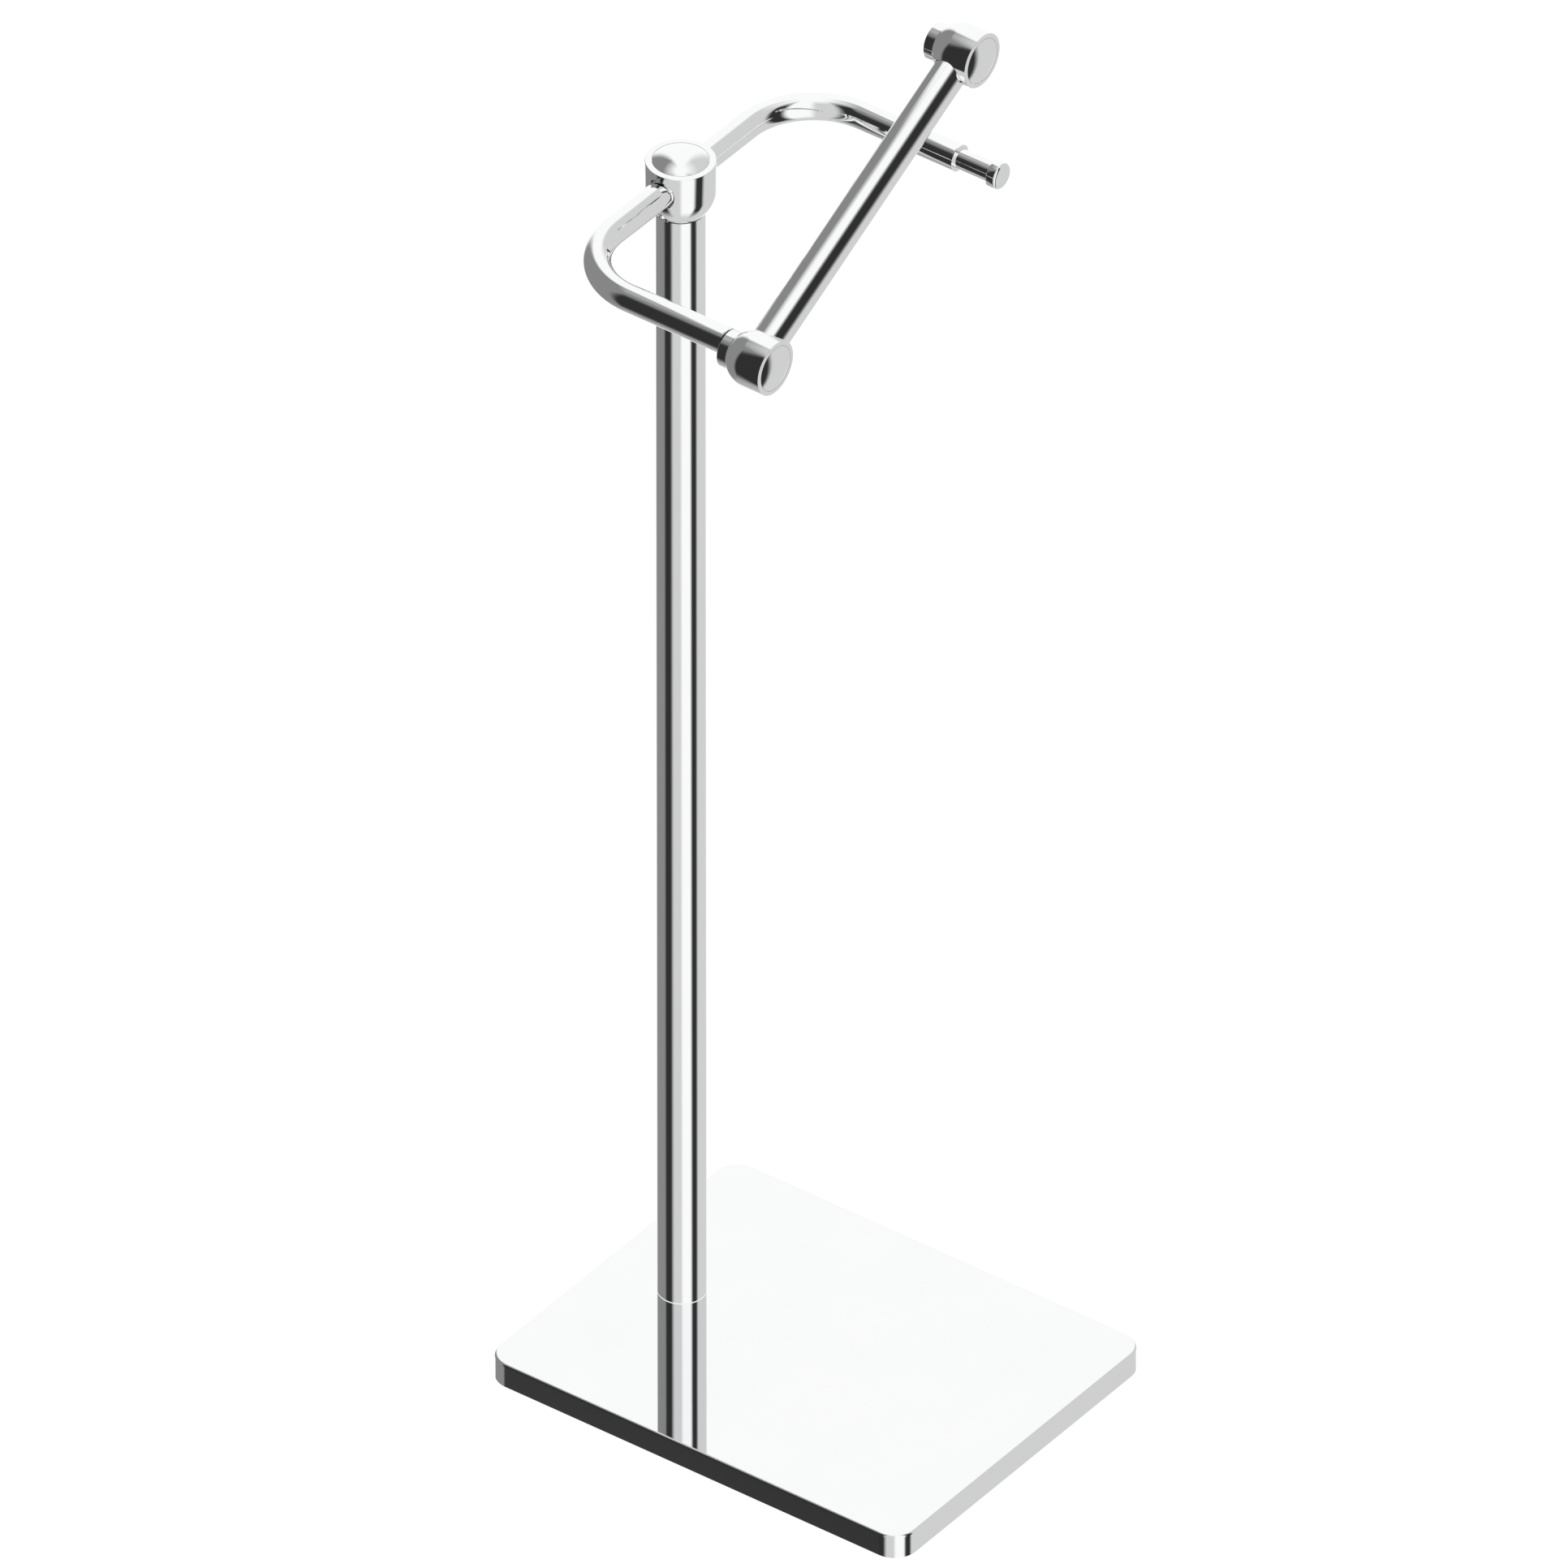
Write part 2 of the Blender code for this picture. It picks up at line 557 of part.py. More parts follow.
def cut_bar_seat(cup, label, place, turn, pivot):
    """Flat-bottomed seat for the end of the bar, with the stud's hole behind it."""
    seat = BAR_RADIUS + SEAT_GAP
    hole = BAR_STUD_DIAMETER / 2 + SEAT_GAP
    seat_at = BAR_END_FROM_CUP_AXIS - SEAT_GAP
    profile = [(0, seat_at - BAR_STUD_IN_CUP), (hole, seat_at - BAR_STUD_IN_CUP), (hole, seat_at)]
    profile += [(seat, seat_at), (seat, 2 * CUP_RADIUS), (0, 2 * CUP_RADIUS)]
    cut(cup, f"{label}_bar_seat", turned_shape(profile, FINE_STEPS), place @ turn, pivot)


def make_near_cup(pivot):
    """The cup that turns on the pin: bored right through, with room in front for the washer and screw."""
    profile = [(CUP_BORE, -CUP_BEHIND_BAR)] + cup_outside() + cap_seat()
    profile += [(WASHER_ROOM, CAP_BACK - SEAT_GAP), (WASHER_ROOM, CUP_SHOULDER), (CUP_BORE, CUP_SHOULDER)]
    cup = turned("near_cup", profile, CHROME, ALONG_X, pivot, FINE_STEPS)
    cut_bar_seat(cup, "near", Matrix(), ALONG_Y, pivot)

    sleeve = pipe_profile(SLEEVE_RADIUS, SLEEVE_BORE, -CUP_BEHIND_BAR, CUP_SHOULDER - SEAT_GAP)
    turned("pivot_sleeve", sleeve, NYLON, ALONG_X, pivot)
    washer_place = ALONG_X @ Matrix.Translation((0, 0, PIN_END + SEAT_GAP))
    hole = PIN_SCREW["shank"] / 2 + SEAT_GAP
    washer("pivot_washer", PIN_WASHER, hole, STEEL, washer_place, pivot)


def make_pin_screw():
    """Holds the washer, and so the near cup, on the pin. It is fixed in the pin and doesn't turn."""
    head = PIN_END + PIN_WASHER["thickness"] + 2 * SEAT_GAP
    place = Matrix.Translation(PIVOT) @ ALONG_X @ Matrix.Translation((0, 0, head))
    screw("pivot_screw", PIN_SCREW, PIN_SCREW_LENGTH - SEAT_GAP * 4, STEEL, place)


def slot_shape(half_width, low, high):
    """A slot that is round at the top, where the peg rests, and open below."""
    outline = arc((-CUP_DROP, 0), half_width, 90, 270, ARC_STEPS)
    outline += [(2 * CUP_RADIUS, -half_width), (2 * CUP_RADIUS, half_width)]
    return prism_shape(outline, low, high)


def make_far_cup(pivot):
    """The cup that drops over the peg: a narrow slot for the shank and a wide one for the head."""
    at_far_end = Matrix.Translation((0, ARM_SPACING, 0))
    profile = [(0, -CUP_BEHIND_BAR)] + cup_outside() + cap_seat() + [(0, CAP_BACK - SEAT_GAP)]
    cup = turned("far_cup", profile, CHROME, at_far_end @ ALONG_X, pivot, FINE_STEPS)
    cut_bar_seat(cup, "far", at_far_end, AGAINST_Y, pivot)
    head_at = PEG_SHANK_LENGTH - SEAT_GAP - CUP_BEHIND_BAR
    place = at_far_end @ ALONG_X
    narrow = slot_shape(PEG_RADIUS + LATCH_GAP, -2 * CUP_BEHIND_BAR, CAP_BACK)
    cut(cup, "peg_slot", narrow, place, pivot)
    wide = slot_shape(PEG_HEAD_RADIUS + LATCH_GAP, head_at - LATCH_GAP, CAP_BACK)
    cut(cup, "peg_head_slot", wide, place, pivot)


def make_cup_caps(pivot):
    """A domed disc closes the front of each cup."""
    profile = [(0, CAP_BACK), (CAP_NECK, CAP_BACK), (CAP_NECK, CAP_STEP), (CAP_RADIUS, CAP_STEP)]
    profile += crown(CAP_RADIUS, CUP_CAP_CROWN, CUP_BEFORE_BAR)
    for name, along in (("near_cup_cap", 0), ("far_cup_cap", ARM_SPACING)):
        turned(name, profile, CHROME, Matrix.Translation((0, along, 0)) @ ALONG_X, pivot, FINE_STEPS)


def make_bar(pivot):
    """Thin-walled tube with a pressed-in plug at each end, and a stud from each plug into its cup."""
    low = BAR_END_FROM_CUP_AXIS
    high = ARM_SPACING - BAR_END_FROM_CUP_AXIS
    profile = pipe_profile(BAR_RADIUS, BAR_BORE, low, high, TUBE_CHAMFER, TUBE_CHAMFER)
    turned("bar_tube", profile, CHROME, ALONG_Y, pivot)
    ends = (
        ("near", ALONG_Y),
        ("far", Matrix.Translation((0, ARM_SPACING, 0)) @ AGAINST_Y),
    )
    plug = BAR_BORE - SEAT_GAP
    hole = BAR_STUD_DIAMETER / 2 + SEAT_GAP
    for label, place in ends:
        profile = pipe_profile(plug, hole, low, low + BAR_PLUG_LENGTH)
        turned(f"{label}_bar_plug", profile, ZINC, place, pivot, SMALL_STEPS)
        stud = disc_profile(BAR_STUD_DIAMETER / 2, low - BAR_STUD_IN_CUP, low + BAR_STUD_IN_PLUG)
        turned(f"{label}_bar_stud", stud, STEEL, place, pivot, TINY_STEPS)


def make_pivot():
    """Empty on the hinge's axis. Everything that swings with the bar hangs from it."""
    pivot = bpy.data.objects.new("bar_pivot", None)
    bpy.context.scene.collection.objects.link(pivot)
    pivot.location = PIVOT
    pivot.rotation_euler = (math.radians(BAR_RAISED_DEG), 0, 0)
    return pivot


def main():
    clear_scene()
    recess = make_base()
    make_base_screw(recess)
    make_post()
    hub = make_hub()
    make_hub_grubs(hub)
    make_hub_cap()
    make_arms()
    make_far_peg()
    make_near_pin()
    make_pin_screw()
    pivot = make_pivot()
    make_near_cup(pivot)
    make_far_cup(pivot)
    make_cup_caps(pivot)
    make_bar(pivot)


main()
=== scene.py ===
import json
import math

import bmesh
import bpy
from mathutils import Matrix, Vector


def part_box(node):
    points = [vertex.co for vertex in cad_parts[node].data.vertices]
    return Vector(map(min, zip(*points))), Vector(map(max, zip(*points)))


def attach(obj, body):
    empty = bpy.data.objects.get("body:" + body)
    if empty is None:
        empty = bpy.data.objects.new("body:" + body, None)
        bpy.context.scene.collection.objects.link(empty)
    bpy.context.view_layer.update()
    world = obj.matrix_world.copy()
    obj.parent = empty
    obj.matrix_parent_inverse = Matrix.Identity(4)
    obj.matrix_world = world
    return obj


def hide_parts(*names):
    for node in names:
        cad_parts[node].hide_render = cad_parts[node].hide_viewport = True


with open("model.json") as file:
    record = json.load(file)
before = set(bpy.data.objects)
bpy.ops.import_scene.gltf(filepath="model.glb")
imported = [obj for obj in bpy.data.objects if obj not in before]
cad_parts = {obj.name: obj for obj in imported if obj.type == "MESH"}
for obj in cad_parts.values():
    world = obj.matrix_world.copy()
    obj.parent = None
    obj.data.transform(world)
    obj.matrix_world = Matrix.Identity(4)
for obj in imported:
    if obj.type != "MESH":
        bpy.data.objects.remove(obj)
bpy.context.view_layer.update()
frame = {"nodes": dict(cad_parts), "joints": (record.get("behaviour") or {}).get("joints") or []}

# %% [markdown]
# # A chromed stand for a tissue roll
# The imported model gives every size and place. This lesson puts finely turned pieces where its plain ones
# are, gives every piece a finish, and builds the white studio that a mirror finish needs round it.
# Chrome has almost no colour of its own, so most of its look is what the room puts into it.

MM = 0.001
scene = bpy.context.scene

# %% [markdown]
# ## Reading sizes from the model
# A piece's own box tells where its axis is and how wide it is. Asking the model, and not writing the
# numbers again, keeps each fine piece on the plain one that it stands for.

# %% Sizes read from the model
def box_middle(node):
    low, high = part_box(node)
    return (low + high) / 2


def box_size(node):
    low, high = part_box(node)
    return high - low


hinge = frame["joints"][0]
pivot = Vector(hinge["pos_m"])
raised = -math.radians(hinge["range_deg"][0])
post_x = box_middle("post_tube").x
post_low, post_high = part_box("post_tube")[0].z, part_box("post_tube")[1].z
post_radius = box_size("post_tube").x / 2
hub_low, hub_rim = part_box("hub")[0].z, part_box("hub")[1].z
hub_radius = box_size("hub").x / 2
arm_radius = box_size("near_arm").z / 2
arm_height = box_middle("near_arm").z
arm_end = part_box("near_arm")[1].x
arm_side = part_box("far_arm")[1].y - arm_radius
print("post", round(post_radius / MM, 2), "hub", round(hub_radius / MM, 2), "arm", round(arm_radius / MM, 2))
print("the bar stands raised by", round(math.degrees(raised), 1), "degrees")
print("it turns about", [round(x, 4) for x in pivot])

# %% [markdown]
# ## Shared helpers
# Most of this stand was made on a lathe: a profile spun round an axis. The same idea in Blender is
# bmesh's spin operator. A screw modifier or a circle swept along a profile would also do, but spin
# leaves plain geometry at once. Turned shapes are made along +Z and then moved into place.

# %% Helpers that turn, cut and place shapes
FINE_SIDES = 192  # round shapes are divided this finely, so that no edge shows in a reflection
LATHE_SIDES = 256  # the hub and the cups, which show the most
SEAT_SIDES = 128
SMALL_SIDES = 96
RECESS_SIDES = 64
GRUB_SIDES = 48
SHARP_DEG = 28
SAME_POINT = 0.002 * MM

along_x = Matrix.Rotation(math.pi / 2, 4, "Y")
along_y = Matrix.Rotation(-math.pi / 2, 4, "X")
against_y = Matrix.Rotation(math.pi / 2, 4, "X")
on_bar = Matrix.Translation(pivot) @ Matrix.Rotation(raised, 4, "X")


def arc(centre, radius, start_deg, end_deg, steps=24):
    """Points of an arc in a (radius, height) profile."""
    points = []
    for step in range(steps + 1):
        angle = math.radians(start_deg + (end_deg - start_deg) * step / steps)
        points.append((centre[0] + radius * math.cos(angle), centre[1] + radius * math.sin(angle)))
    return points


def turned_mesh(name, profile, place, sides=FINE_SIDES):
    """Spins a profile round Z. One that starts off the axis is a closed loop."""
    shape = bmesh.new()
    points = [shape.verts.new((radius, 0, height)) for radius, height in profile]
    pairs = list(zip(points, points[1:]))
    if profile[0][0] > 0:
        pairs.append((points[-1], points[0]))
    edges = [shape.edges.new(pair) for pair in pairs]
    bmesh.ops.spin(shape, geom=points + edges, cent=(0, 0, 0), axis=(0, 0, 1), angle=2 * math.pi,
                   steps=sides, use_merge=True)
    bmesh.ops.remove_doubles(shape, verts=shape.verts, dist=SAME_POINT)
    bmesh.ops.recalc_face_normals(shape, faces=shape.faces)
    mesh = bpy.data.meshes.new(name)
    shape.to_mesh(mesh)
    shape.free()
    mesh.transform(place)
    return mesh


def prism_mesh(name, outline, low, high, place):
    """A straight prism with an (x, y) outline."""
    shape = bmesh.new()
    face = shape.faces.new([shape.verts.new((x, y, low)) for x, y in outline])
    top = bmesh.ops.extrude_face_region(shape, geom=[face])["geom"]
    lifted = [item for item in top if isinstance(item, bmesh.types.BMVert)]
    bmesh.ops.translate(shape, verts=lifted, vec=(0, 0, high - low))
    bmesh.ops.recalc_face_normals(shape, faces=shape.faces)
    mesh = bpy.data.meshes.new(name)
    shape.to_mesh(mesh)
    shape.free()
    mesh.transform(place)
    return mesh


def settled_mesh(thing):
    """The mesh that an object's modifiers make, as a plain mesh of its own."""
    scene.collection.objects.link(thing)
    graph = bpy.context.evaluated_depsgraph_get()
    mesh = bpy.data.meshes.new_from_object(thing.evaluated_get(graph))
    mesh.name = thing.name
    return mesh


def keep_flats_flat(piece):
    """Turns the normals at each edge to the widest face beside it, so that flat faces mirror evenly."""
    weighted = piece.modifiers.new("flat faces", "WEIGHTED_NORMAL")
    weighted.mode = "FACE_AREA"
    weighted.weight = 100
    weighted.keep_sharp = True


def cut_mesh(mesh, tools):
    """Cuts each tool's shape out of a mesh, one after another."""
    body = bpy.data.objects.new(mesh.name, mesh)
    helpers = []
    for tool in tools:
        helper = bpy.data.objects.new(tool.name, tool)
        scene.collection.objects.link(helper)
        helpers.append(helper)
        cut = body.modifiers.new(tool.name, "BOOLEAN")
        cut.operation = "DIFFERENCE"
        cut.solver = "EXACT"
        cut.object = helper
    result = settled_mesh(body)
    for leftover in [body, *helpers]:
        bpy.data.objects.remove(leftover)
    return result


def keep_piece(name, mesh, material, body, slot, *nodes):
    """Puts a finished mesh in the scene as a piece of one body, in place of the plain nodes."""
    mesh.shade_smooth()
    mesh.set_sharp_from_angle(angle=math.radians(SHARP_DEG))
    mesh.materials.clear()
    mesh.materials.append(material)
    mesh.name = name
    piece = bpy.data.objects.new(name, mesh)
    scene.collection.objects.link(piece)
    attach(piece, body)
    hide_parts(*nodes)
    print(name, "has", len(mesh.polygons), "faces and stands for", ", ".join(nodes))
    return piece


# %% [markdown]
# ## Finishes
# Each finish is a small node tree on Object coordinates, which lie still on a piece. A mirror plating
# shows only slight things: a haze that comes and goes, hair-fine polishing marks and a faint ripple.
# The marks go into roughness and bump, never into a painted highlight, so that they stay true from
# every side.

# %% Node helpers and the finishes
def new_finish(name, colour, metallic, roughness):
    material = bpy.data.materials.new(name)
    material.use_nodes = True
    shader = material.node_tree.nodes["Principled BSDF"]
    shader.inputs["Base Color"].default_value = (*colour, 1)
    shader.inputs["Metallic"].default_value = metallic
    shader.inputs["Roughness"].default_value = roughness
    material.diffuse_color = (*colour, 1)
    return material, material.node_tree, shader


def pattern_place(tree, stretch=(1, 1, 1), centre=(0, 0, 0)):
    """Object coordinates, measured from a centre and stretched."""
    coordinates = tree.nodes.new("ShaderNodeTexCoord")
    mapping = tree.nodes.new("ShaderNodeMapping")
    mapping.inputs["Scale"].default_value = stretch
    mapping.inputs["Location"].default_value = [-c * s for c, s in zip(centre, stretch)]
    tree.links.new(coordinates.outputs["Object"], mapping.inputs["Vector"])
    return mapping.outputs["Vector"]


def noise(tree, place, scale, detail=3.0, rough=0.5):
    node = tree.nodes.new("ShaderNodeTexNoise")
    node.inputs["Scale"].default_value = scale
    node.inputs["Detail"].default_value = detail
    node.inputs["Roughness"].default_value = rough
    tree.links.new(place, node.inputs["Vector"])
    return node.outputs["Fac"]


def spread(tree, value, low, high, start=0.3, end=0.7):
    """Maps a pattern from start..end to low..high."""
    node = tree.nodes.new("ShaderNodeMapRange")
    for socket, number in (("From Min", start), ("From Max", end), ("To Min", low), ("To Max", high)):
        node.inputs[socket].default_value = number
    tree.links.new(value, node.inputs["Value"])
    return node.outputs["Result"]


def tint(tree, value, dark, light):
    """Mixes two colours by a pattern."""
    node = tree.nodes.new("ShaderNodeMix")
    node.data_type = "RGBA"
    node.inputs["A"].default_value = (*dark, 1)
    node.inputs["B"].default_value = (*light, 1)
    tree.links.new(value, node.inputs["Factor"])
    return node.outputs["Result"]


def raise_surface(tree, shader, value, strength, distance):
    bump = tree.nodes.new("ShaderNodeBump")
    bump.inputs["Strength"].default_value = strength
    bump.inputs["Distance"].default_value = distance
    tree.links.new(value, bump.inputs["Height"])
    tree.links.new(bump.outputs["Normal"], shader.inputs["Normal"])


def math_node(tree, operation, first, second=None):
    """A sum on numbers or on other nodes' outputs."""
    node = tree.nodes.new("ShaderNodeMath")
    node.operation = operation
    for socket, value in zip(node.inputs, (first, second)):
        if isinstance(value, (int, float)):
            socket.default_value = value
        elif value is not None:
            tree.links.new(value, socket)
    return node.outputs["Value"]


def mirror_chrome(name, stretch, ripple):
    """Polished plating. The stretch lays the polishing marks along or across a piece."""
    material, tree, shader = new_finish(name, (0.95, 0.955, 0.96), 1.0, 0.02)
    plain = pattern_place(tree)
    marks = noise(tree, pattern_place(tree, stretch), 900, 2.0)
    haze = noise(tree, plain, 35, 2.0)
    cloud = spread(tree, haze, 0.006, 0.022)
    scratch = spread(tree, marks, 0.0, 0.012, 0.55, 0.75)
    tree.links.new(math_node(tree, "ADD", cloud, scratch), shader.inputs["Roughness"])
    tree.links.new(tint(tree, haze, (0.935, 0.94, 0.947), (0.965, 0.968, 0.97)), shader.inputs["Base Color"])
    raise_surface(tree, shader, noise(tree, plain, 60, 1.0), ripple, 0.02 * MM)
    return material


tube_chrome = mirror_chrome("tube_chrome", (1, 1, 0.04), 0.12)
arm_chrome = mirror_chrome("arm_chrome", (0.1, 1, 1), 0.12)
lathe_chrome = mirror_chrome("lathe_chrome", (1, 1, 1), 0.10)
plate_chrome = mirror_chrome("plate_chrome", (0.06, 1, 1), 0.12)


def turned_steel(name, dark, light, rough, rings):
    """Bare or zinc-plated steel: fine rings left by the tool, with a cloudy tone."""
    material, tree, shader = new_finish(name, light, 1.0, rough)
    cloud = noise(tree, pattern_place(tree), 420, 4.0)
    grooves = noise(tree, pattern_place(tree, (1, 1, 8)), rings, 2.0)
    tree.links.new(tint(tree, cloud, dark, light), shader.inputs["Base Color"])
    tree.links.new(spread(tree, cloud, rough - 0.08, rough + 0.1), shader.inputs["Roughness"])
    raise_surface(tree, shader, grooves, 0.35, 0.05 * MM)
    return material


zinc = turned_steel("zinc_plated", (0.50, 0.51, 0.53), (0.68, 0.69, 0.70), 0.32, 700)
plain_steel = turned_steel("plain_steel", (0.36, 0.36, 0.37), (0.55, 0.55, 0.56), 0.38, 900)


def closed_foam(name):
    """Black foam sheet: small closed cells and a dusty tone."""
    material, tree, shader = new_finish(name, (0.045, 0.045, 0.048), 0.0, 0.85)
    place = pattern_place(tree)
    cells = tree.nodes.new("ShaderNodeTexVoronoi")
    cells.inputs["Scale"].default_value = 1400
    tree.links.new(place, cells.inputs["Vector"])
    dust = noise(tree, place, 160, 4.0)
    tree.links.new(tint(tree, dust, (0.028, 0.028, 0.03), (0.07, 0.07, 0.072)), shader.inputs["Base Color"])
    tree.links.new(spread(tree, dust, 0.78, 0.93), shader.inputs["Roughness"])
    raise_surface(tree, shader, cells.outputs["Distance"], 0.6, 0.2 * MM)
    return material


def natural_nylon(name):
    """Undyed nylon: slightly waxy, with a trace of the mould's grain."""
    material, tree, shader = new_finish(name, (0.82, 0.82, 0.79), 0.0, 0.42)
    shader.inputs["Subsurface Weight"].default_value = 0.15
    shader.inputs["Subsurface Radius"].default_value = (0.002, 0.002, 0.0016)
    grain = noise(tree, pattern_place(tree), 800, 3.0)
    tree.links.new(tint(tree, grain, (0.77, 0.77, 0.73), (0.85, 0.85, 0.82)), shader.inputs["Base Color"])
    tree.links.new(spread(tree, grain, 0.36, 0.5), shader.inputs["Roughness"])
    raise_surface(tree, shader, grain, 0.2, 0.05 * MM)
    return material


foam = closed_foam("foam")
nylon = natural_nylon("nylon")
print("finishes:", ", ".join(m.name for m in bpy.data.materials if m.use_nodes))

# %% [markdown]
# ## The base plate
# A heavy steel slab, ground flat, with round corners and a softened top edge. It is an outline of four
# arcs, pulled up into a slab, whose top edge is bevelled. A subdivided cube could be bent into this shape,
# but its flat top would ripple, and a mirror shows every ripple.

# %% Base plate
CORNER_RADIUS = 11.6 * MM
EDGE_RADIUS = 1.2 * MM
CORNER_STEPS = 32
EDGE_STEPS = 6
SCREW_PLAY = 0.3 * MM


def rounded_rectangle(length, width, radius):
    outline = []
    for x, y, start in ((1, 1, 0), (-1, 1, 90), (-1, -1, 180), (1, -1, 270)):
        centre = (x * (length / 2 - radius), y * (width / 2 - radius))
        outline += arc(centre, radius, start, start + 90, CORNER_STEPS)
    return outline


def soften_top(mesh, top, radius):
    shape = bmesh.new()
    shape.from_mesh(mesh)
    rim = [edge for edge in shape.edges if min(v.co.z for v in edge.verts) > top - SAME_POINT]
    bmesh.ops.bevel(shape, geom=rim, offset=radius, segments=EDGE_STEPS, profile=0.5, affect="EDGES")
    shape.to_mesh(mesh)
    shape.free()


plate_low, plate_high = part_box("base_plate")
plate_size = plate_high - plate_low
outline = rounded_rectangle(plate_size.x, plate_size.y, CORNER_RADIUS)
slab = prism_mesh("slab", outline, plate_low.z, plate_high.z, Matrix())
soften_top(slab, plate_high.z, EDGE_RADIUS)
screw_room = box_size("post_screw_washer").x / 2 + SCREW_PLAY
screw_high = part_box("post_screw_washer")[1].z + SCREW_PLAY
recess = turned_mesh("recess", [(0, -MM), (screw_room, -MM), (screw_room, screw_high), (0, screw_high)],
                     Matrix.Translation((post_x, 0, 0)), RECESS_SIDES)
slab = cut_mesh(slab, [recess])
plate = keep_piece("plate", slab, plate_chrome, "stand", "chrome", "base_plate")
keep_flats_flat(plate)
below = [frame["nodes"][name] for name in ("base_pad", "post_screw", "post_screw_washer")]
for hidden in (plate, *below):
    hidden.visible_glossy = False  # the post and the hub mirror the studio alone

# %% [markdown]
# ## The tubes
# The post, the bar and both arms are drawn tube. A tube is a circle carried along a path, which is what
# Geometry Nodes do best: one tree takes the path's few points, rounds its corners to the bend radius and
# sweeps the circle. An arm then needs only three points and its end. The width share on each point
# narrows the very ends, where a tube cutter leaves a small chamfer.

# %% A node tree that draws a tube along a path
def tube_tree():
    tree = bpy.data.node_groups.new("drawn tube", "GeometryNodeTree")
    face = tree.interface
    for label, kind in (("Geometry", "Geometry"), ("Outside Radius", "Float"), ("Bend Radius", "Float"),
                        ("Bend Steps", "Int"), ("Sides", "Int"), ("Finish", "Material")):
        face.new_socket(label, in_out="INPUT", socket_type=f"NodeSocket{kind}")
    face.new_socket("Geometry", in_out="OUTPUT", socket_type="NodeSocketGeometry")
    nodes = tree.nodes
    links = tree.links
    given = nodes.new("NodeGroupInput")
    path = nodes.new("GeometryNodeMeshToCurve")
    share = nodes.new("GeometryNodeInputNamedAttribute")
    share.data_type = "FLOAT"
    share.inputs["Name"].default_value = "width_share"
    widths = nodes.new("GeometryNodeSetCurveRadius")
    rounded = nodes.new("GeometryNodeFilletCurve")
    rounded.mode = "POLY"
    circle = nodes.new("GeometryNodeCurvePrimitiveCircle")
    circle.mode = "RADIUS"
    sweep = nodes.new("GeometryNodeCurveToMesh")
    sweep.inputs["Fill Caps"].default_value = True
    real = nodes.new("GeometryNodeRealizeInstances")
    dress = nodes.new("GeometryNodeSetMaterial")
    result = nodes.new("NodeGroupOutput")
    links.new(given.outputs["Geometry"], path.inputs["Mesh"])
    links.new(path.outputs["Curve"], widths.inputs["Curve"])
    links.new(share.outputs["Attribute"], widths.inputs["Radius"])
    links.new(widths.outputs["Curve"], rounded.inputs["Curve"])
    links.new(given.outputs["Bend Radius"], rounded.inputs["Radius"])
    links.new(given.outputs["Bend Steps"], rounded.inputs["Count"])
    links.new(given.outputs["Sides"], circle.inputs["Resolution"])
    links.new(given.outputs["Outside Radius"], circle.inputs["Radius"])
    links.new(rounded.outputs["Curve"], sweep.inputs["Curve"])
    links.new(circle.outputs["Curve"], sweep.inputs["Profile Curve"])
    links.new(sweep.outputs["Mesh"], real.inputs["Geometry"])
    links.new(real.outputs["Geometry"], dress.inputs["Geometry"])
    links.new(given.outputs["Finish"], dress.inputs["Material"])
    links.new(dress.outputs["Geometry"], result.inputs["Geometry"])
    return tree


drawn_tube = tube_tree()
sockets = {item.name: item.identifier for item in drawn_tube.interface.items_tree if item.in_out == "INPUT"}
print("the tube tree takes", ", ".join(sockets))

# %% Drawing a tube
CUT_CHAMFER = 0.5 * MM
BEND_STEPS = 64


def drawn_tube_mesh(name, points, radius, bend, finish):
    """Sweeps a tube along a path of points, with both of its ends chamfered."""
    path = [Vector(point) for point in points]
    first = (path[1] - path[0]).normalized() * CUT_CHAMFER
    last = (path[-1] - path[-2]).normalized() * CUT_CHAMFER
    path = [path[0], path[0] + first, *path[1:-1], path[-1] - last, path[-1]]
    narrow = (radius - CUT_CHAMFER) / radius
    shares = [narrow] + [1.0] * (len(path) - 2) + [narrow]
    line = bpy.data.meshes.new(name)
    line.from_pydata(path, [(i, i + 1) for i in range(len(path) - 1)], [])
    line.attributes.new("width_share", "FLOAT", "POINT").data.foreach_set("value", shares)
    draft = bpy.data.objects.new(name + "_draft", line)
    modifier = draft.modifiers.new("drawn tube", "NODES")
    modifier.node_group = drawn_tube
    modifier[sockets["Outside Radius"]] = radius
    modifier[sockets["Bend Radius"]] = bend
    modifier[sockets["Bend Steps"]] = BEND_STEPS
    modifier[sockets["Sides"]] = FINE_SIDES // 2
    modifier[sockets["Finish"]] = finish
    mesh = settled_mesh(draft)
    bpy.data.objects.remove(draft)
    shape = bmesh.new()
    shape.from_mesh(mesh)
    bmesh.ops.recalc_face_normals(shape, faces=shape.faces)
    shape.to_mesh(mesh)
    shape.free()
    return mesh


# %% [markdown]
# ## The post and the arms
# The post is one straight length. Each arm leaves the hub sideways, turns through a quarter circle and
# reaches forward, so its path is a corner with a bend radius of 36 mm.

# %% Post and arms
ARM_BEND_RADIUS = 36 * MM
post_mesh = drawn_tube_mesh("post_draft", [(post_x, 0, post_low), (post_x, 0, post_high)], post_radius, MM,
                            tube_chrome)
keep_piece("post", post_mesh, tube_chrome, "stand", "chrome", "post_tube")

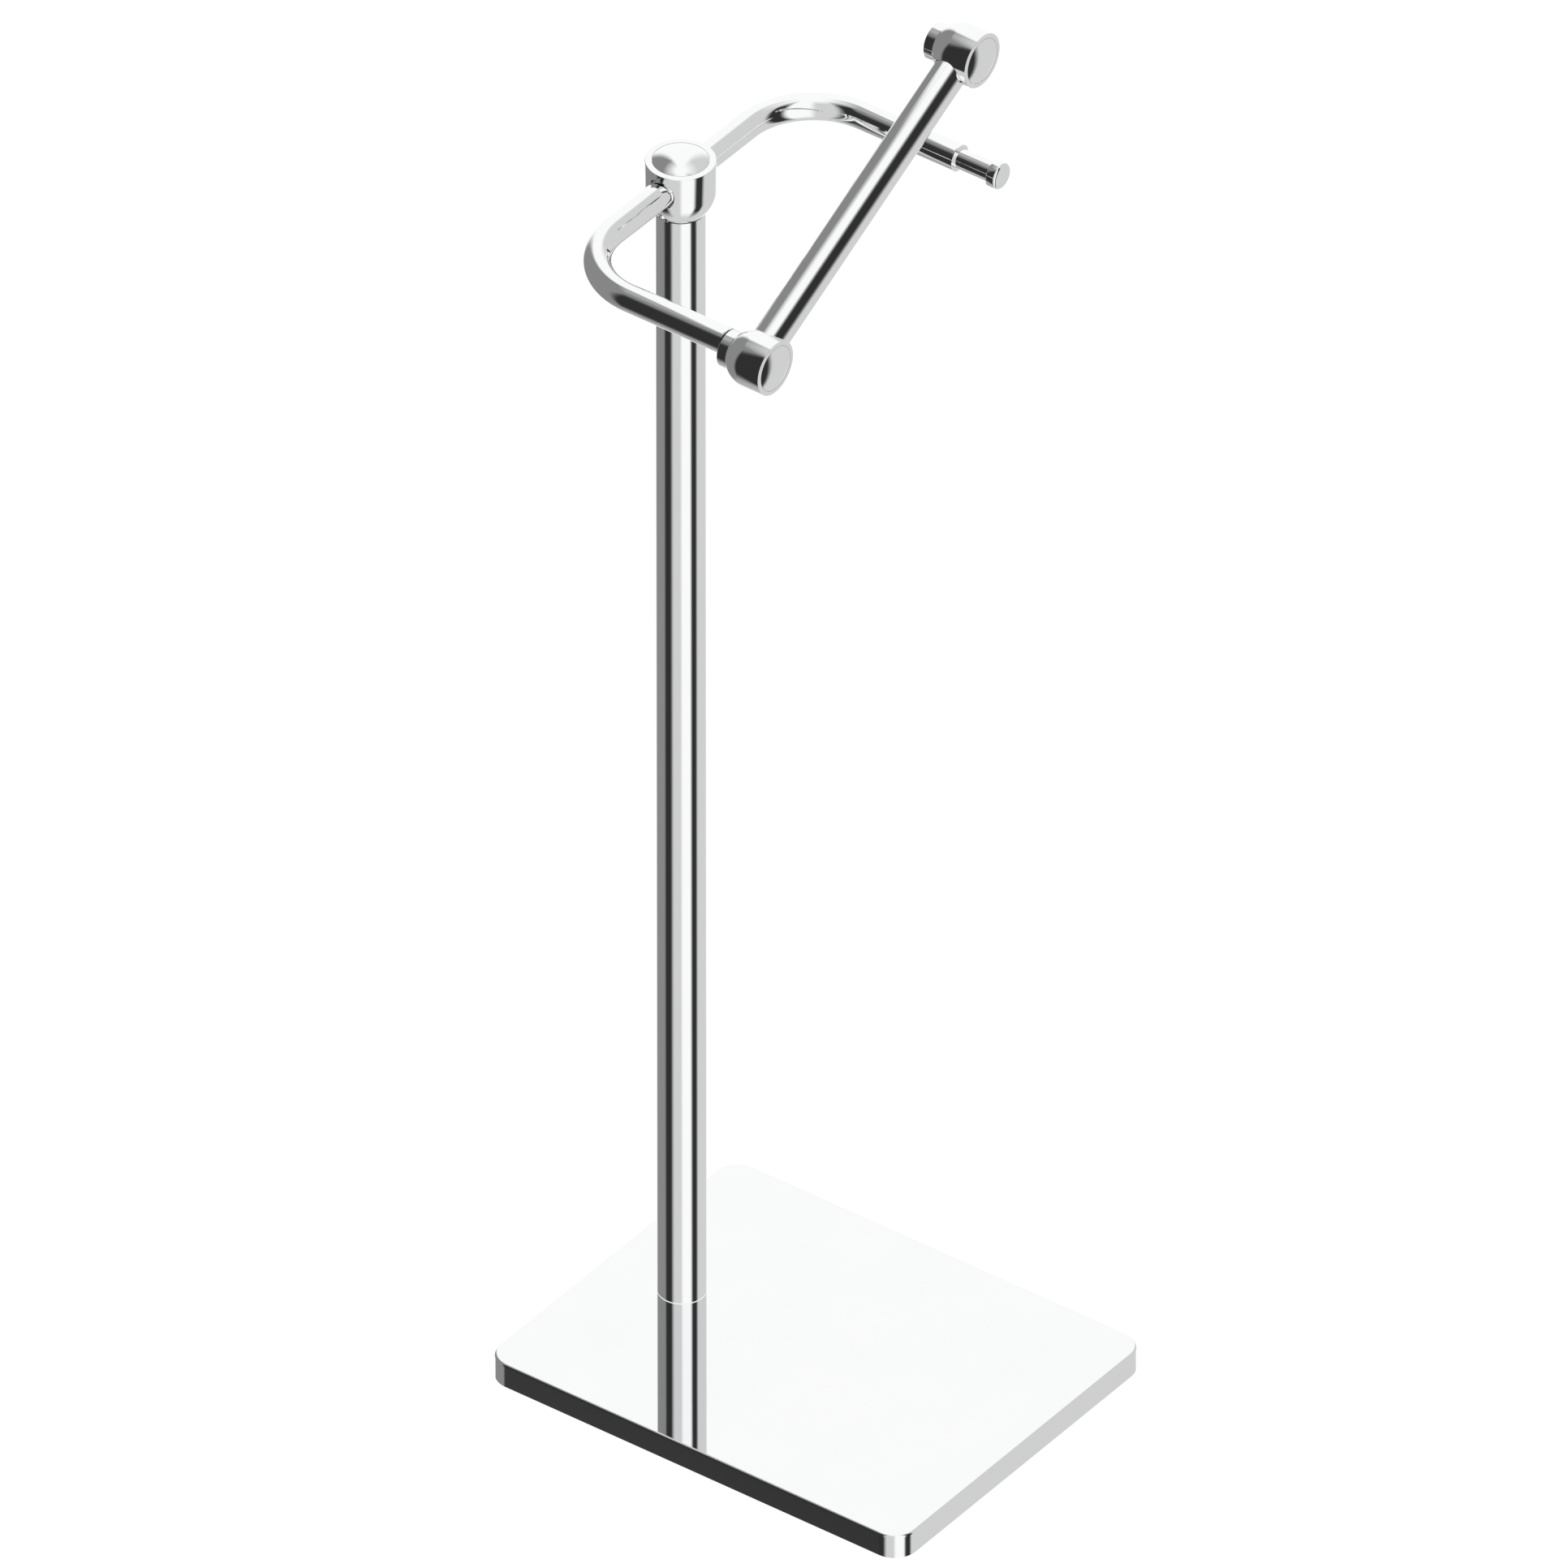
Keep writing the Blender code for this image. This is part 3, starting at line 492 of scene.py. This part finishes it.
arm_start = abs(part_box("far_arm")[0].y)
for label, side in (("near", -1), ("far", 1)):
    corner = (post_x, side * arm_side, arm_height)
    route = [(post_x, side * arm_start, arm_height), corner, (arm_end, side * arm_side, arm_height)]
    arm_mesh = drawn_tube_mesh(label, route, arm_radius, ARM_BEND_RADIUS, arm_chrome)
    keep_piece(f"{label}_arm_tube", arm_mesh, arm_chrome, "stand", "chrome", f"{label}_arm")

# %% [markdown]
# ## The hub
# A turned body: a straight side, a round underside that meets the post, and a flat rim round its cap.
# Each arm enters a drilled socket whose mouth is opened with a countersink, and that small cone is the
# bright ring round the tube. The sockets are cut with a Boolean, as a drill would, because a hole that
# breaks through a round side has no simple outline.

# %% Hub
SOCKET_FLARE = 0.9 * MM
RIM_EDGE = 0.25 * MM
HUB_SHOULDER = 15.5 * MM
FIT = 0.3 * MM

under = math.sqrt(hub_radius**2 - post_radius**2)
under_deg = math.degrees(math.asin(under / hub_radius))
cap_low, cap_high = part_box("hub_cap")
cap_radius = (cap_high.x - cap_low.x) / 2
mouth = cap_radius + FIT
seat = cap_low.z - hub_rim - FIT
profile = [(0, hub_low - hub_rim)]
profile += arc((0, -HUB_SHOULDER), hub_radius, -under_deg, 0)
profile += arc((hub_radius - RIM_EDGE, -RIM_EDGE), RIM_EDGE, 0, 90, 6)
profile += [(mouth, 0), (mouth, seat), (0, seat)]
on_hub = Matrix.Translation((post_x, 0, hub_rim))
hub_mesh = turned_mesh("hub", profile, on_hub, LATHE_SIDES)
bore = arm_radius + FIT / 2
flare = bore + SOCKET_FLARE
side_at = math.sqrt(hub_radius**2 - bore**2)
socket = [(0, arm_start - FIT), (bore, arm_start - FIT), (bore, side_at - SOCKET_FLARE), (flare, side_at)]
socket += [(flare, 2 * hub_radius), (0, 2 * hub_radius)]
tools = []
for label, turn in (("near", against_y), ("far", along_y)):
    place = Matrix.Translation((post_x, 0, arm_height)) @ turn
    tools.append(turned_mesh(f"{label}_socket", socket, place, SMALL_SIDES))
for label in ("near", "far"):
    grub_low, grub_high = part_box(f"{label}_hub_grub")
    grub_radius = (grub_high.x - grub_low.x) / 2 + FIT
    grub_place = Matrix.Translation((post_x, (grub_low.y + grub_high.y) / 2, 0))
    grub_hole = [(0, hub_low - MM), (grub_radius, hub_low - MM), (grub_radius, arm_height), (0, arm_height)]
    tools.append(turned_mesh(f"{label}_grub_hole", grub_hole, grub_place, GRUB_SIDES))
hub_mesh = cut_mesh(hub_mesh, tools)
keep_piece("hub_body", hub_mesh, lathe_chrome, "stand", "chrome", "hub")

# %% [markdown]
# ## Domed caps
# The hub and both cups end in a dome set inside a flat rim. A dome is part of a sphere, and its radius
# follows from how wide and how high it stands. It gathers the whole room into one small picture.

# %% Domes
def crown(edge_radius, height, rim, steps=40):
    """Profile of a dome, from its edge at the rim's level in to its middle."""
    sphere = (edge_radius**2 + height**2) / (2 * height)
    edge_deg = math.degrees(math.asin(edge_radius / sphere))
    return arc((0, rim + height - sphere), sphere, 90 - edge_deg, 90, steps)


DOME_FIT = 0.12 * MM  # the fine dome fills its mouth more closely than the plain one
hub_dome_edge = mouth - DOME_FIT
profile = [(0, cap_low.z - hub_rim), (hub_dome_edge, cap_low.z - hub_rim)]
profile += crown(hub_dome_edge, cap_high.z - hub_rim, 0)
keep_piece("hub_dome", turned_mesh("hub_dome", profile, on_hub), lathe_chrome, "stand", "chrome", "hub_cap")

# %% [markdown]
# ## The peg
# The far arm ends in a turned peg. Its head keeps the closed bar from sliding off, and its front edge is
# well rounded, so that the cup drops over it without a scratch.

# %% Peg
PEG_RADIUS = 4.65 * MM
PEG_HEAD_LENGTH = 5.0 * MM
PEG_HEAD_ROUND = 1.3 * MM
PEG_BACK_ROUND = 0.3 * MM
PEG_TAIL_IN = 1.3 * MM  # the tail inside the arm is this much thinner than the arm's outside
PEG_STEP = 0.02 * MM
peg_low, peg_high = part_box("far_peg")
head_radius = (peg_high.z - peg_low.z) / 2
front = peg_high.x - arm_end
head = front - PEG_HEAD_LENGTH
tail = arm_radius - PEG_TAIL_IN
profile = [(0, peg_low.x - arm_end), (tail, peg_low.x - arm_end), (tail, 0), (PEG_RADIUS, PEG_STEP)]
profile += [(PEG_RADIUS, head)]
profile += arc((head_radius - PEG_BACK_ROUND, head + PEG_BACK_ROUND), PEG_BACK_ROUND, -90, 0, 6)
profile += arc((head_radius - PEG_HEAD_ROUND, front - PEG_HEAD_ROUND), PEG_HEAD_ROUND, 0, 90, 12)
profile.append((0, front))
place = Matrix.Translation((arm_end, arm_side, arm_height)) @ along_x
peg_mesh = turned_mesh("far_peg_turned", profile, place, SMALL_SIDES)
keep_piece("far_peg_turned", peg_mesh, lathe_chrome, "stand", "chrome", "far_peg")

# %% [markdown]
# ## The bar
# The bar rides on its own body, so its tube and its cups are made where they stand at rest: raised, and
# turned about the pivot in the near arm.

# %% Bar tube
BAR_RADIUS = 7.95 * MM
BAR_FROM_CUP = 9.9 * MM
spacing = 2 * arm_side
along_bar = Vector((0, math.cos(raised), math.sin(raised)))
ends = [pivot + along_bar * BAR_FROM_CUP, pivot + along_bar * (spacing - BAR_FROM_CUP)]
bar_mesh = drawn_tube_mesh("bar_draft", ends, BAR_RADIUS, MM, tube_chrome)
keep_piece("bar_polished", bar_mesh, tube_chrome, "bar", "chrome", "bar_tube")

# %% [markdown]
# ## The cups
# A cup is turned on the lathe, cross-drilled to take the bar, and closed by its dome. The near one is
# bored through for the pivot pin. The far one has a slot underneath, narrow for the peg's shank and wide
# for its head, and the slots are cut as a milling cutter would cut them.

# %% Cups
CUP_RADIUS = 12.85 * MM
COLLAR_RADIUS = 8.65 * MM
CUP_RIM_WIDTH = 2.1 * MM
ROUND_BACK = 1.0 * MM
CUP_DROP = arm_height - pivot.z
SLOT_PLAY = 0.6 * MM
PIN_PLAY = 0.15 * MM
collar = pivot.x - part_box("near_cup")[0].x
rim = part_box("near_cup")[1].x - pivot.x
dome_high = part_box("near_cup_cap")[1].x - pivot.x - rim
cap_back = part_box("near_cup_cap")[0].x - pivot.x
cup_mouth = CUP_RADIUS - CUP_RIM_WIDTH
sleeve_low, sleeve_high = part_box("pivot_sleeve")
pin_bore = (sleeve_high.z - sleeve_low.z) / 2 + PIN_PLAY


def cup_profile():
    """From the edge of the collar, round the back, along the side and over the rim to the dome's seat."""
    collar_deg = math.degrees(math.acos(COLLAR_RADIUS / CUP_RADIUS))
    profile = [(COLLAR_RADIUS - RIM_EDGE, -collar), (COLLAR_RADIUS, RIM_EDGE - collar)]
    profile += arc((0, -ROUND_BACK), CUP_RADIUS, -collar_deg, 0, 40)
    profile += arc((CUP_RADIUS - RIM_EDGE, rim - RIM_EDGE), RIM_EDGE, 0, 90, 6)
    profile += [(cup_mouth, rim), (cup_mouth, cap_back - FIT)]
    return profile


def bar_seat(label, place):
    """The flat-bottomed hole that the end of the bar stands in."""
    seat = BAR_RADIUS + FIT / 2
    depth = BAR_FROM_CUP - FIT
    profile = [(0, depth), (seat, depth), (seat, 2 * CUP_RADIUS), (0, 2 * CUP_RADIUS)]
    return turned_mesh(f"{label}_seat", profile, place, SEAT_SIDES)


def slot_mesh(name, half_width, low, high, place):
    outline = arc((-CUP_DROP, 0), half_width, 90, 270, 32)
    outline += [(2 * CUP_RADIUS, -half_width), (2 * CUP_RADIUS, half_width)]
    return prism_mesh(name, outline, low, high, place)


near_profile = [(pin_bore, -collar), *cup_profile(), (pin_bore, cap_back - FIT)]
near_cup = turned_mesh("near_cup_draft", near_profile, on_bar @ along_x, LATHE_SIDES)
near_cup = cut_mesh(near_cup, [bar_seat("near", on_bar @ along_y)])
keep_piece("near_cup_body", near_cup, lathe_chrome, "bar", "chrome", "near_cup")

at_far = on_bar @ Matrix.Translation((0, spacing, 0))
far_profile = [(0, -collar), *cup_profile(), (0, cap_back - FIT)]
far_cup = turned_mesh("far_cup_draft", far_profile, at_far @ along_x, LATHE_SIDES)
head_slot_at = arm_end + head - pivot.x - SLOT_PLAY - FIT
slots = [
    bar_seat("far", at_far @ against_y),
    slot_mesh("shank_slot", PEG_RADIUS + SLOT_PLAY, -2 * collar, cap_back, at_far @ along_x),
    slot_mesh("head_slot", head_radius + SLOT_PLAY, head_slot_at, cap_back, at_far @ along_x),
]
keep_piece("far_cup_body", cut_mesh(far_cup, slots), lathe_chrome, "bar", "chrome", "far_cup")

for label, middle in (("near", on_bar), ("far", at_far)):
    edge = cup_mouth - DOME_FIT
    profile = [(0, cap_back), (edge, cap_back)] + crown(edge, dome_high, rim)
    dome_mesh = turned_mesh(f"{label}_dome", profile, middle @ along_x)
    keep_piece(f"{label}_cup_dome", dome_mesh, lathe_chrome, "bar", "chrome", f"{label}_cup_cap")

# %% [markdown]
# ## What stays inside
# Plugs, studs, screws, the pin and its sleeve have the right shape already, so they stay as the model has
# them and only take a finish. They are mostly out of sight, but the stand comes apart, and then they show.

# %% Finishes for the inner pieces
inner = {
    zinc: ("post_bottom_plug", "post_top_plug", "near_bar_plug", "far_bar_plug", "near_pivot_pin"),
    plain_steel: ("post_screw", "post_screw_washer", "hub_stud", "near_hub_grub", "far_hub_grub",
                  "pivot_screw", "pivot_washer", "near_bar_stud", "far_bar_stud"),
    foam: ("base_pad",),
    nylon: ("pivot_sleeve",),
}
for finish, names in inner.items():
    for name in names:
        mesh = frame["nodes"][name].data
        if mesh.materials:
            mesh.materials[0] = finish
        else:
            mesh.materials.append(finish)
    print(finish.name, "on", ", ".join(names))

# %% [markdown]
# ## The studio
# A mirror needs something to mirror. A plain product studio hangs pale cloth round the table and sets a
# black board where an edge should be drawn. Here the walls are one colour ramp on the compass direction,
# made of four tones. Overhead they fade into a white ceiling, and underfoot into a pale ground. Real
# lamps and boards could be modelled, but they would stand in the way of other cameras.

# %% The studio's tones, walls, ceiling and ground
WHITE_CLOTH = 1.0
SILVER_CLOTH = 0.65
GREY_CARD = 0.25
BLACK_BOARD = 0.03
WALLS = [(-180, GREY_CARD), (-140, GREY_CARD), (-125, BLACK_BOARD), (-105, BLACK_BOARD), (-85, SILVER_CLOTH),
         (-60, SILVER_CLOTH), (-45, WHITE_CLOTH), (-15, WHITE_CLOTH), (0, BLACK_BOARD), (15, BLACK_BOARD),
         (30, SILVER_CLOTH), (90, SILVER_CLOTH), (110, WHITE_CLOTH), (145, WHITE_CLOTH), (160, GREY_CARD)]
CEILING_FROM, CEILING_FULL = 55, 80  # degrees above level
GROUND_FROM, GROUND_FULL = -50, -75


def wall_ramp(tree, turn, stops):
    """The walls: a colour ramp on the compass direction, which runs from 0 to 1."""
    node = tree.nodes.new("ShaderNodeValToRGB")
    ramp = node.color_ramp
    ramp.interpolation = "EASE"
    around = stops + [(180, stops[0][1])]
    ramp.elements[0].position = 0
    ramp.elements[1].position = 1
    for degrees, _ in around[1:-1]:
        ramp.elements.new((degrees + 180) / 360)
    for element, (_, light) in zip(ramp.elements, around):
        element.color = (light, light, light, 1)
    tree.links.new(turn, node.inputs["Fac"])
    return node.outputs["Color"]


def fade_to(tree, light, amount, tone):
    """Fades the light so far into one plain tone."""
    mix = tree.nodes.new("ShaderNodeMix")
    mix.data_type = "RGBA"
    tree.links.new(amount, mix.inputs["Factor"])
    tree.links.new(light, mix.inputs["A"])
    mix.inputs["B"].default_value = (tone, tone, tone, 1)
    return mix.outputs["Result"]


# %% Building the studio
world = bpy.data.worlds.new("studio")
scene.world = world
world.use_nodes = True
room = world.node_tree
room.nodes.clear()
direction = room.nodes.new("ShaderNodeTexCoord")
parts = room.nodes.new("ShaderNodeSeparateXYZ")
room.links.new(direction.outputs["Generated"], parts.inputs["Vector"])
turn = math_node(room, "ARCTAN2", parts.outputs["Y"], parts.outputs["X"])
turn = math_node(room, "MULTIPLY_ADD", turn, 1 / (2 * math.pi))
turn.node.inputs[2].default_value = 0.5
height = math_node(room, "MULTIPLY", math_node(room, "ARCSINE", parts.outputs["Z"]), 180 / math.pi)
light = wall_ramp(room, turn, WALLS)
light = fade_to(room, light, spread(room, height, 0, 1, CEILING_FROM, CEILING_FULL), WHITE_CLOTH)
light = fade_to(room, light, spread(room, height, 0, 1, GROUND_FROM, GROUND_FULL), SILVER_CLOTH)
studio = room.nodes.new("ShaderNodeBackground")
room.links.new(light, studio.inputs["Color"])
backdrop = room.nodes.new("ShaderNodeBackground")
backdrop.inputs["Color"].default_value = (1, 1, 1, 1)
seen = room.nodes.new("ShaderNodeLightPath")
choose = room.nodes.new("ShaderNodeMixShader")
end = room.nodes.new("ShaderNodeOutputWorld")
room.links.new(seen.outputs["Is Camera Ray"], choose.inputs["Fac"])
room.links.new(studio.outputs["Background"], choose.inputs[1])
room.links.new(backdrop.outputs["Background"], choose.inputs[2])
room.links.new(choose.outputs["Shader"], end.inputs["Surface"])
print("the studio has", len(WALLS), "stops round its walls")

# %% [markdown]
# ## Floor, lamp and camera
# The floor is a plain pale sheet that glows a little, so it stays as white as the backdrop and keeps only
# a faint shadow under the plate. A wide soft lamp overhead lights what isn't mirror-like. The camera
# stands far off with a very long lens, which keeps parallel edges parallel.

# %% Floor and lamp
FLOOR_SIZE = 6.0
FLOOR_GLOW = 0.93
LAMP_SIZE = 1.6
LAMP_POWER = 12
LAMP_AT = (0.5, -0.9, 2.2)
floor_mesh = bpy.data.meshes.new("floor")
reach = FLOOR_SIZE / 2
floor_mesh.from_pydata([(-reach, -reach, 0), (reach, -reach, 0), (reach, reach, 0), (-reach, reach, 0)], [],
                       [(0, 1, 2, 3)])
floor = bpy.data.objects.new("floor", floor_mesh)
scene.collection.objects.link(floor)
paper, _, paper_shader = new_finish("paper", (0.16, 0.16, 0.16), 0.0, 1.0)
paper_shader.inputs["Specular IOR Level"].default_value = 0.0
paper_shader.inputs["Emission Color"].default_value = (1, 1, 1, 1)
paper_shader.inputs["Emission Strength"].default_value = FLOOR_GLOW
floor_mesh.materials.append(paper)
floor.visible_glossy = False

lamp_data = bpy.data.lights.new("lamp", "AREA")
lamp_data.size = LAMP_SIZE
lamp_data.energy = LAMP_POWER
lamp = bpy.data.objects.new("lamp", lamp_data)
lamp.location = LAMP_AT
lamp.rotation_euler = (Vector((0, 0, 0.3)) - lamp.location).to_track_quat("-Z", "Y").to_euler()
lamp.visible_glossy = False
scene.collection.objects.link(lamp)

# %% Camera
VIEW_TURN = math.radians(36.70)
VIEW_TILT = math.radians(36.46)
VIEW_DISTANCE = 28.85
AIM = Vector((-0.1031, 0.1149, 0.2095))
LENS = 1500
camera_data = bpy.data.cameras.new("camera")
camera_data.lens = LENS
camera_data.sensor_width = 36
camera_data.clip_start = 1
camera_data.clip_end = 80
camera = bpy.data.objects.new("camera", camera_data)
scene.collection.objects.link(camera)
camera.rotation_euler = (math.pi / 2 - VIEW_TILT, 0, VIEW_TURN)
backwards = camera.rotation_euler.to_matrix() @ Vector((0, 0, 1))
camera.location = AIM + backwards * VIEW_DISTANCE
scene.camera = camera
scene.view_settings.view_transform = "Standard"
print("camera", [round(x, 2) for x in camera.location], "looks at", [round(x, 3) for x in AIM])
